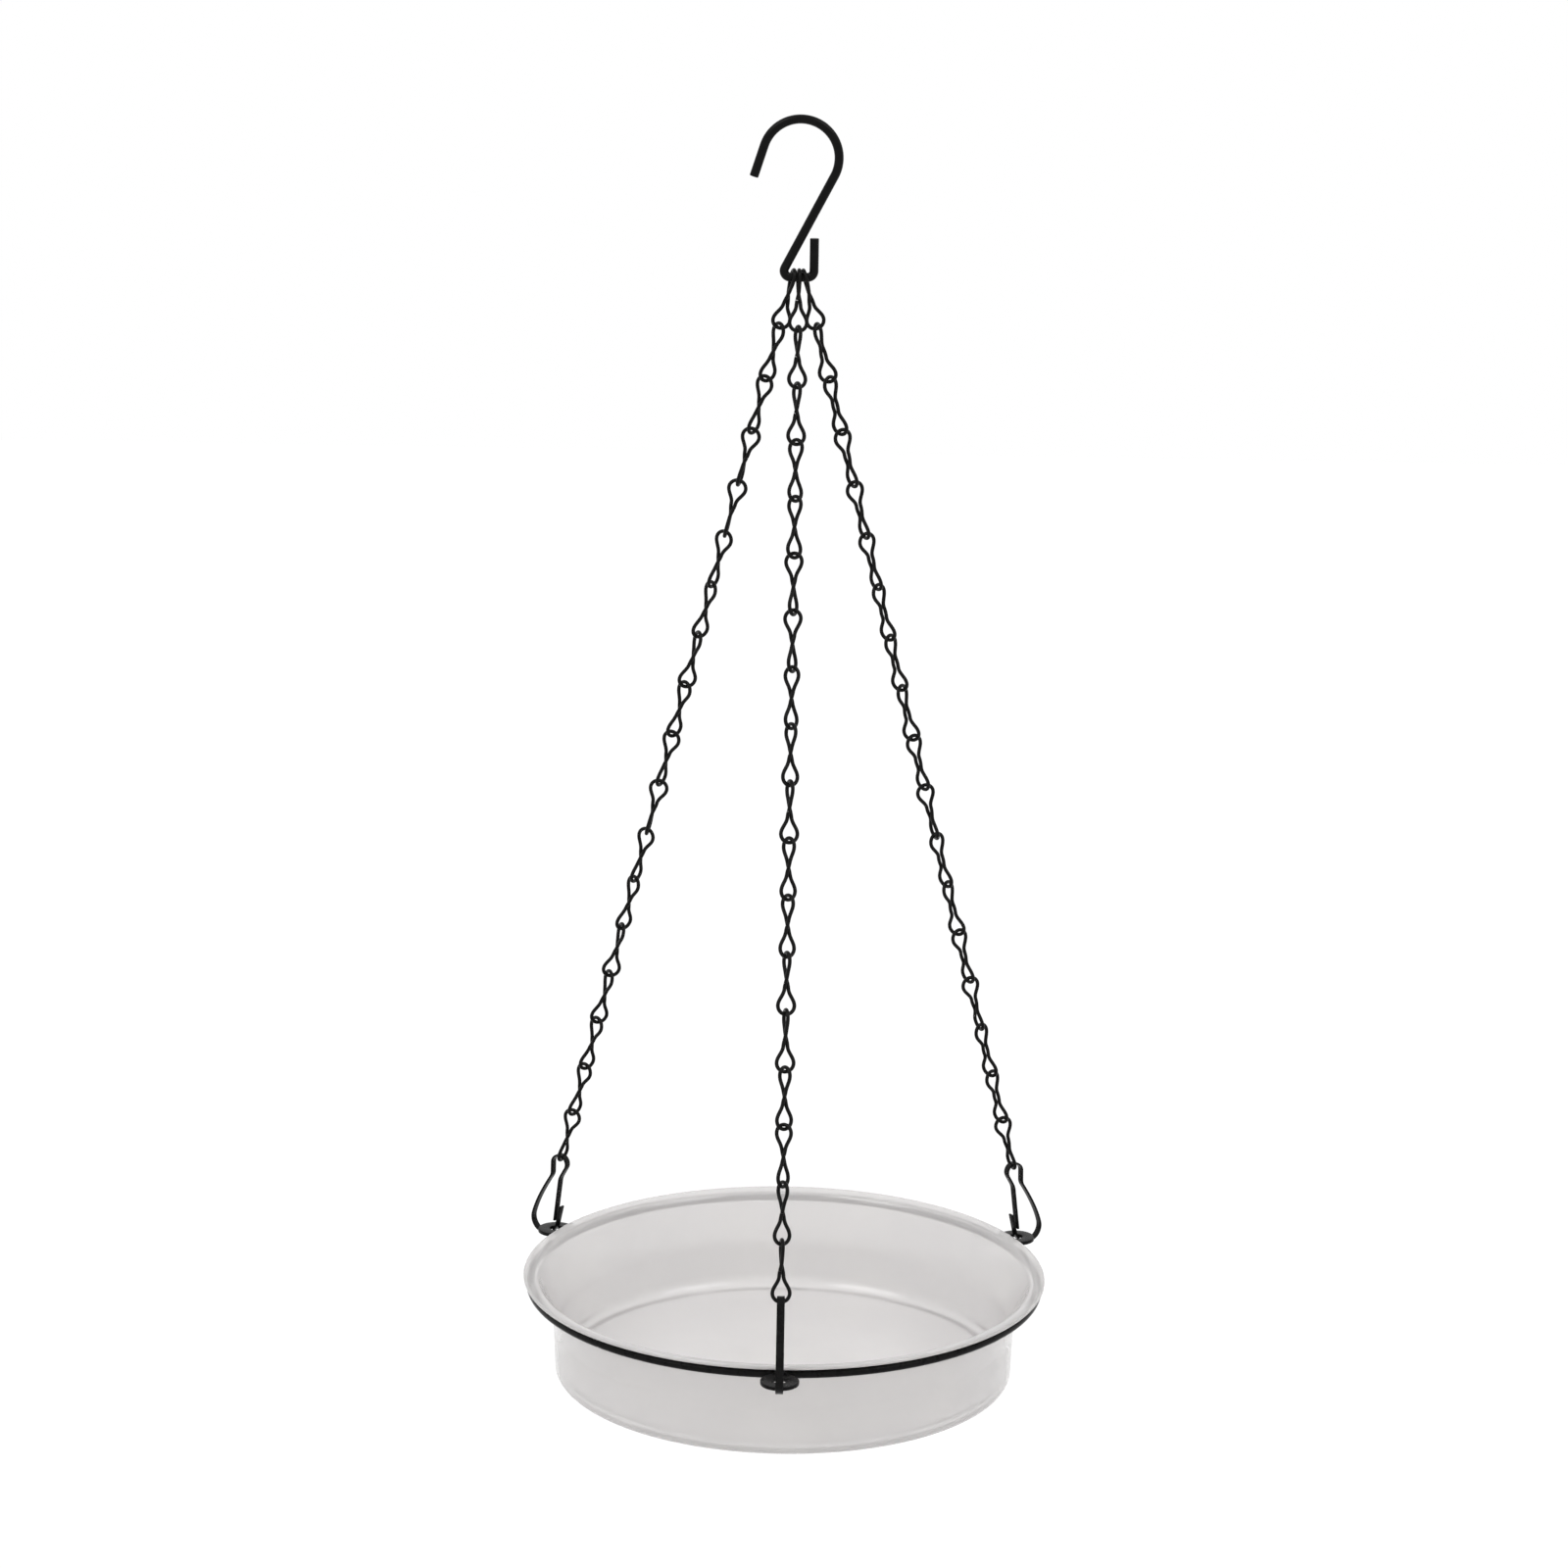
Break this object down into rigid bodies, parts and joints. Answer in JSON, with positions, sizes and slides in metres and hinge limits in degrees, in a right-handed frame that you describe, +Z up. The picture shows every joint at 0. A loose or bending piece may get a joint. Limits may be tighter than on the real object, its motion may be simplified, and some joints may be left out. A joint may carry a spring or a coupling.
{
  "type": "hanging bird bath",
  "caption": "Hanging bird bath: a shallow flared plastic bowl rests in a wire ring, hung by chains of twisted wire links and spring clips from an S-hook.",
  "frame": {"origin": "inside of the S-hook's crook at its top, where it bears on what it hangs from", "axes": "+Z up; the front chain comes down on the -Y side and the hook lies in the XZ plane"},
  "size_m": [0.2578, 0.2749, 0.6095],
  "materials": {
    "hook_wire": "black coated round steel wire, satin",
    "chain_wire": "blackened steel wire, satin",
    "clip_strip": "blackened flat spring strip, satin",
    "ring_wire": "black coated steel wire and welded eyes, satin",
    "bowl_plastic": "frosted translucent moulded plastic"
  },
  "bodies": {
    "hook": {"s_hook": "hook_wire"},
    "ring_set": {"support_ring": "ring_wire", "clip_front": "clip_strip", "clip_left": "clip_strip", "clip_right": "clip_strip"},
    "bowl_body": {"bowl": "bowl_plastic"},
    "gate_front": {"clip_gate_front": "clip_strip"},
    "gate_left": {"clip_gate_left": "clip_strip"},
    "gate_right": {"clip_gate_right": "clip_strip"},
    "link_front_01_02": {"chain_front_links_01_02": "chain_wire"},
    "link_front_03": {"chain_front_link_03": "chain_wire"},
    "link_front_04": {"chain_front_link_04": "chain_wire"},
    "link_front_05": {"chain_front_link_05": "chain_wire"},
    "link_front_06": {"chain_front_link_06": "chain_wire"},
    "link_front_07": {"chain_front_link_07": "chain_wire"},
    "link_front_08": {"chain_front_link_08": "chain_wire"},
    "link_front_09": {"chain_front_link_09": "chain_wire"},
    "link_front_10": {"chain_front_link_10": "chain_wire"},
    "link_front_11": {"chain_front_link_11": "chain_wire"},
    "link_front_12": {"chain_front_link_12": "chain_wire"},
    "link_front_13": {"chain_front_link_13": "chain_wire"},
    "link_front_14": {"chain_front_link_14": "chain_wire"},
    "link_front_15": {"chain_front_link_15": "chain_wire"},
    "link_front_16": {"chain_front_link_16": "chain_wire"},
    "link_front_17": {"chain_front_link_17": "chain_wire"},
    "link_front_18": {"chain_front_link_18": "chain_wire"},
    "link_left_01_02": {"chain_left_links_01_02": "chain_wire"},
    "link_left_03": {"chain_left_link_03": "chain_wire"},
    "link_left_04": {"chain_left_link_04": "chain_wire"},
    "link_left_05": {"chain_left_link_05": "chain_wire"},
    "link_left_06": {"chain_left_link_06": "chain_wire"},
    "link_left_07": {"chain_left_link_07": "chain_wire"},
    "link_left_08": {"chain_left_link_08": "chain_wire"},
    "link_left_09": {"chain_left_link_09": "chain_wire"},
    "link_left_10": {"chain_left_link_10": "chain_wire"},
    "link_left_11": {"chain_left_link_11": "chain_wire"},
    "link_left_12": {"chain_left_link_12": "chain_wire"},
    "link_left_13": {"chain_left_link_13": "chain_wire"},
    "link_left_14": {"chain_left_link_14": "chain_wire"},
    "link_left_15": {"chain_left_link_15": "chain_wire"},
    "link_left_16": {"chain_left_link_16": "chain_wire"},
    "link_left_17": {"chain_left_link_17": "chain_wire"},
    "link_left_18": {"chain_left_link_18": "chain_wire"},
    "link_right_01_02": {"chain_right_links_01_02": "chain_wire"},
    "link_right_03": {"chain_right_link_03": "chain_wire"},
    "link_right_04": {"chain_right_link_04": "chain_wire"},
    "link_right_05": {"chain_right_link_05": "chain_wire"},
    "link_right_06": {"chain_right_link_06": "chain_wire"},
    "link_right_07": {"chain_right_link_07": "chain_wire"},
    "link_right_08": {"chain_right_link_08": "chain_wire"},
    "link_right_09": {"chain_right_link_09": "chain_wire"},
    "link_right_10": {"chain_right_link_10": "chain_wire"},
    "link_right_11": {"chain_right_link_11": "chain_wire"},
    "link_right_12": {"chain_right_link_12": "chain_wire"},
    "link_right_13": {"chain_right_link_13": "chain_wire"},
    "link_right_14": {"chain_right_link_14": "chain_wire"},
    "link_right_15": {"chain_right_link_15": "chain_wire"},
    "link_right_16": {"chain_right_link_16": "chain_wire"},
    "link_right_17": {"chain_right_link_17": "chain_wire"},
    "link_right_18": {"chain_right_link_18": "chain_wire"}
  },
  "joints": [
    {"name": "bath_swing", "type": "hinge", "parent": "hook", "child": "ring_set", "pos_m": [0, 0, -0.0702], "axis": [1, 0, 0], "range_deg": [-45, 45]},
    {"name": "bowl_lift", "type": "slide", "parent": "ring_set", "child": "bowl_body", "axis": [0, 0, 1], "range_m": [0, 0.024]},
    {"name": "clip_gate_front", "type": "hinge", "parent": "ring_set", "child": "gate_front", "pos_m": [0, -0.13092, -0.53185], "axis": [-1, 0, 0], "range_deg": [0, 18], "stiffness_Nm_per_rad": 0.06},
    {"name": "clip_gate_left", "type": "hinge", "parent": "ring_set", "child": "gate_left", "pos_m": [-0.11349, 0.06549, -0.53181], "axis": [0.5095, 0.8605, 0], "range_deg": [0, 18], "stiffness_Nm_per_rad": 0.06},
    {"name": "clip_gate_right", "type": "hinge", "parent": "ring_set", "child": "gate_right", "pos_m": [0.11349, 0.06549, -0.53181], "axis": [0.5095, -0.8605, 0], "range_deg": [0, 18], "stiffness_Nm_per_rad": 0.06},
    {"name": "link_front_01_02", "type": "hinge", "parent": "ring_set", "child": "link_front_01_02", "pos_m": [0, -0.00665, -0.09321], "axis": [0, 0.2776, 0.9607], "range_deg": [-3, 3]},
    {"name": "link_front_03", "type": "hinge", "parent": "ring_set", "child": "link_front_03", "pos_m": [0, -0.01756, -0.13096], "axis": [0, 0.2776, 0.9607], "range_deg": [-12, 12]},
    {"name": "link_front_04", "type": "hinge", "parent": "ring_set", "child": "link_front_04", "pos_m": [0, -0.02483, -0.15613], "axis": [0, 0.2776, 0.9607], "range_deg": [-12, 12]},
    {"name": "link_front_05", "type": "hinge", "parent": "ring_set", "child": "link_front_05", "pos_m": [0, -0.03211, -0.1813], "axis": [0, 0.2776, 0.9607], "range_deg": [-12, 12]},
    {"name": "link_front_06", "type": "hinge", "parent": "ring_set", "child": "link_front_06", "pos_m": [0, -0.03938, -0.20647], "axis": [0, 0.2776, 0.9607], "range_deg": [-12, 12]},
    {"name": "link_front_07", "type": "hinge", "parent": "ring_set", "child": "link_front_07", "pos_m": [0, -0.04666, -0.23164], "axis": [0, 0.2776, 0.9607], "range_deg": [-12, 12]},
    {"name": "link_front_08", "type": "hinge", "parent": "ring_set", "child": "link_front_08", "pos_m": [0, -0.05393, -0.25681], "axis": [0, 0.2776, 0.9607], "range_deg": [-12, 12]},
    {"name": "link_front_09", "type": "hinge", "parent": "ring_set", "child": "link_front_09", "pos_m": [0, -0.06121, -0.28198], "axis": [0, 0.2776, 0.9607], "range_deg": [-12, 12]},
    {"name": "link_front_10", "type": "hinge", "parent": "ring_set", "child": "link_front_10", "pos_m": [0, -0.06848, -0.30715], "axis": [0, 0.2776, 0.9607], "range_deg": [-12, 12]},
    {"name": "link_front_11", "type": "hinge", "parent": "ring_set", "child": "link_front_11", "pos_m": [0, -0.07575, -0.33232], "axis": [0, 0.2776, 0.9607], "range_deg": [-12, 12]},
    {"name": "link_front_12", "type": "hinge", "parent": "ring_set", "child": "link_front_12", "pos_m": [0, -0.08303, -0.35749], "axis": [0, 0.2776, 0.9607], "range_deg": [-12, 12]},
    {"name": "link_front_13", "type": "hinge", "parent": "ring_set", "child": "link_front_13", "pos_m": [0, -0.0903, -0.38266], "axis": [0, 0.2776, 0.9607], "range_deg": [-12, 12]},
    {"name": "link_front_14", "type": "hinge", "parent": "ring_set", "child": "link_front_14", "pos_m": [0, -0.09757, -0.40783], "axis": [0, 0.2776, 0.9607], "range_deg": [-12, 12]},
    {"name": "link_front_15", "type": "hinge", "parent": "ring_set", "child": "link_front_15", "pos_m": [0, -0.10485, -0.433], "axis": [0, 0.2776, 0.9607], "range_deg": [-12, 12]},
    {"name": "link_front_16", "type": "hinge", "parent": "ring_set", "child": "link_front_16", "pos_m": [0, -0.11212, -0.45817], "axis": [0, 0.2776, 0.9607], "range_deg": [-12, 12]},
    {"name": "link_front_17", "type": "hinge", "parent": "ring_set", "child": "link_front_17", "pos_m": [0, -0.1194, -0.48334], "axis": [0, 0.2776, 0.9607], "range_deg": [-12, 12]},
    {"name": "link_front_18", "type": "hinge", "parent": "ring_set", "child": "link_front_18", "pos_m": [0, -0.12667, -0.50851], "axis": [0, 0.2776, 0.9607], "range_deg": [-6, 6]},
    {"name": "link_left_01_02", "type": "hinge", "parent": "ring_set", "child": "link_left_01_02", "pos_m": [-0.00852, 0.00333, -0.0932], "axis": [0.2349, -0.1391, 0.962], "range_deg": [-3, 3]},
    {"name": "link_left_03", "type": "hinge", "parent": "ring_set", "child": "link_left_03", "pos_m": [-0.01774, 0.00879, -0.13095], "axis": [0.2349, -0.1391, 0.962], "range_deg": [-12, 12]},
    {"name": "link_left_04", "type": "hinge", "parent": "ring_set", "child": "link_left_04", "pos_m": [-0.02388, 0.01243, -0.15612], "axis": [0.2349, -0.1391, 0.962], "range_deg": [-12, 12]},
    {"name": "link_left_05", "type": "hinge", "parent": "ring_set", "child": "link_left_05", "pos_m": [-0.03003, 0.01607, -0.18129], "axis": [0.2349, -0.1391, 0.962], "range_deg": [-12, 12]},
    {"name": "link_left_06", "type": "hinge", "parent": "ring_set", "child": "link_left_06", "pos_m": [-0.03618, 0.01971, -0.20646], "axis": [0.2349, -0.1391, 0.962], "range_deg": [-12, 12]},
    {"name": "link_left_07", "type": "hinge", "parent": "ring_set", "child": "link_left_07", "pos_m": [-0.04232, 0.02335, -0.23162], "axis": [0.2349, -0.1391, 0.962], "range_deg": [-12, 12]},
    {"name": "link_left_08", "type": "hinge", "parent": "ring_set", "child": "link_left_08", "pos_m": [-0.04847, 0.02698, -0.25679], "axis": [0.2349, -0.1391, 0.962], "range_deg": [-12, 12]},
    {"name": "link_left_09", "type": "hinge", "parent": "ring_set", "child": "link_left_09", "pos_m": [-0.05462, 0.03062, -0.28196], "axis": [0.2349, -0.1391, 0.962], "range_deg": [-12, 12]},
    {"name": "link_left_10", "type": "hinge", "parent": "ring_set", "child": "link_left_10", "pos_m": [-0.06076, 0.03426, -0.30713], "axis": [0.2349, -0.1391, 0.962], "range_deg": [-12, 12]},
    {"name": "link_left_11", "type": "hinge", "parent": "ring_set", "child": "link_left_11", "pos_m": [-0.06691, 0.0379, -0.3323], "axis": [0.2349, -0.1391, 0.962], "range_deg": [-12, 12]},
    {"name": "link_left_12", "type": "hinge", "parent": "ring_set", "child": "link_left_12", "pos_m": [-0.07306, 0.04154, -0.35746], "axis": [0.2349, -0.1391, 0.962], "range_deg": [-12, 12]},
    {"name": "link_left_13", "type": "hinge", "parent": "ring_set", "child": "link_left_13", "pos_m": [-0.0792, 0.04518, -0.38263], "axis": [0.2349, -0.1391, 0.962], "range_deg": [-12, 12]},
    {"name": "link_left_14", "type": "hinge", "parent": "ring_set", "child": "link_left_14", "pos_m": [-0.08535, 0.04882, -0.4078], "axis": [0.2349, -0.1391, 0.962], "range_deg": [-12, 12]},
    {"name": "link_left_15", "type": "hinge", "parent": "ring_set", "child": "link_left_15", "pos_m": [-0.0915, 0.05246, -0.43297], "axis": [0.2349, -0.1391, 0.962], "range_deg": [-12, 12]},
    {"name": "link_left_16", "type": "hinge", "parent": "ring_set", "child": "link_left_16", "pos_m": [-0.09764, 0.0561, -0.45813], "axis": [0.2349, -0.1391, 0.962], "range_deg": [-12, 12]},
    {"name": "link_left_17", "type": "hinge", "parent": "ring_set", "child": "link_left_17", "pos_m": [-0.10379, 0.05974, -0.4833], "axis": [0.2349, -0.1391, 0.962], "range_deg": [-12, 12]},
    {"name": "link_left_18", "type": "hinge", "parent": "ring_set", "child": "link_left_18", "pos_m": [-0.10994, 0.06338, -0.50847], "axis": [0.2349, -0.1391, 0.962], "range_deg": [-6, 6]},
    {"name": "link_right_01_02", "type": "hinge", "parent": "ring_set", "child": "link_right_01_02", "pos_m": [0.00852, 0.00333, -0.0932], "axis": [-0.2349, -0.1391, 0.962], "range_deg": [-3, 3]},
    {"name": "link_right_03", "type": "hinge", "parent": "ring_set", "child": "link_right_03", "pos_m": [0.01774, 0.00879, -0.13095], "axis": [-0.2349, -0.1391, 0.962], "range_deg": [-12, 12]},
    {"name": "link_right_04", "type": "hinge", "parent": "ring_set", "child": "link_right_04", "pos_m": [0.02388, 0.01243, -0.15612], "axis": [-0.2349, -0.1391, 0.962], "range_deg": [-12, 12]},
    {"name": "link_right_05", "type": "hinge", "parent": "ring_set", "child": "link_right_05", "pos_m": [0.03003, 0.01607, -0.18129], "axis": [-0.2349, -0.1391, 0.962], "range_deg": [-12, 12]},
    {"name": "link_right_06", "type": "hinge", "parent": "ring_set", "child": "link_right_06", "pos_m": [0.03618, 0.01971, -0.20646], "axis": [-0.2349, -0.1391, 0.962], "range_deg": [-12, 12]},
    {"name": "link_right_07", "type": "hinge", "parent": "ring_set", "child": "link_right_07", "pos_m": [0.04232, 0.02335, -0.23162], "axis": [-0.2349, -0.1391, 0.962], "range_deg": [-12, 12]},
    {"name": "link_right_08", "type": "hinge", "parent": "ring_set", "child": "link_right_08", "pos_m": [0.04847, 0.02698, -0.25679], "axis": [-0.2349, -0.1391, 0.962], "range_deg": [-12, 12]},
    {"name": "link_right_09", "type": "hinge", "parent": "ring_set", "child": "link_right_09", "pos_m": [0.05462, 0.03062, -0.28196], "axis": [-0.2349, -0.1391, 0.962], "range_deg": [-12, 12]},
    {"name": "link_right_10", "type": "hinge", "parent": "ring_set", "child": "link_right_10", "pos_m": [0.06076, 0.03426, -0.30713], "axis": [-0.2349, -0.1391, 0.962], "range_deg": [-12, 12]},
    {"name": "link_right_11", "type": "hinge", "parent": "ring_set", "child": "link_right_11", "pos_m": [0.06691, 0.0379, -0.3323], "axis": [-0.2349, -0.1391, 0.962], "range_deg": [-12, 12]},
    {"name": "link_right_12", "type": "hinge", "parent": "ring_set", "child": "link_right_12", "pos_m": [0.07306, 0.04154, -0.35746], "axis": [-0.2349, -0.1391, 0.962], "range_deg": [-12, 12]},
    {"name": "link_right_13", "type": "hinge", "parent": "ring_set", "child": "link_right_13", "pos_m": [0.0792, 0.04518, -0.38263], "axis": [-0.2349, -0.1391, 0.962], "range_deg": [-12, 12]},
    {"name": "link_right_14", "type": "hinge", "parent": "ring_set", "child": "link_right_14", "pos_m": [0.08535, 0.04882, -0.4078], "axis": [-0.2349, -0.1391, 0.962], "range_deg": [-12, 12]},
    {"name": "link_right_15", "type": "hinge", "parent": "ring_set", "child": "link_right_15", "pos_m": [0.0915, 0.05246, -0.43297], "axis": [-0.2349, -0.1391, 0.962], "range_deg": [-12, 12]},
    {"name": "link_right_16", "type": "hinge", "parent": "ring_set", "child": "link_right_16", "pos_m": [0.09764, 0.0561, -0.45813], "axis": [-0.2349, -0.1391, 0.962], "range_deg": [-12, 12]},
    {"name": "link_right_17", "type": "hinge", "parent": "ring_set", "child": "link_right_17", "pos_m": [0.10379, 0.05974, -0.4833], "axis": [-0.2349, -0.1391, 0.962], "range_deg": [-12, 12]},
    {"name": "link_right_18", "type": "hinge", "parent": "ring_set", "child": "link_right_18", "pos_m": [0.10994, 0.06338, -0.50847], "axis": [-0.2349, -0.1391, 0.962], "range_deg": [-6, 6]}
  ]
}
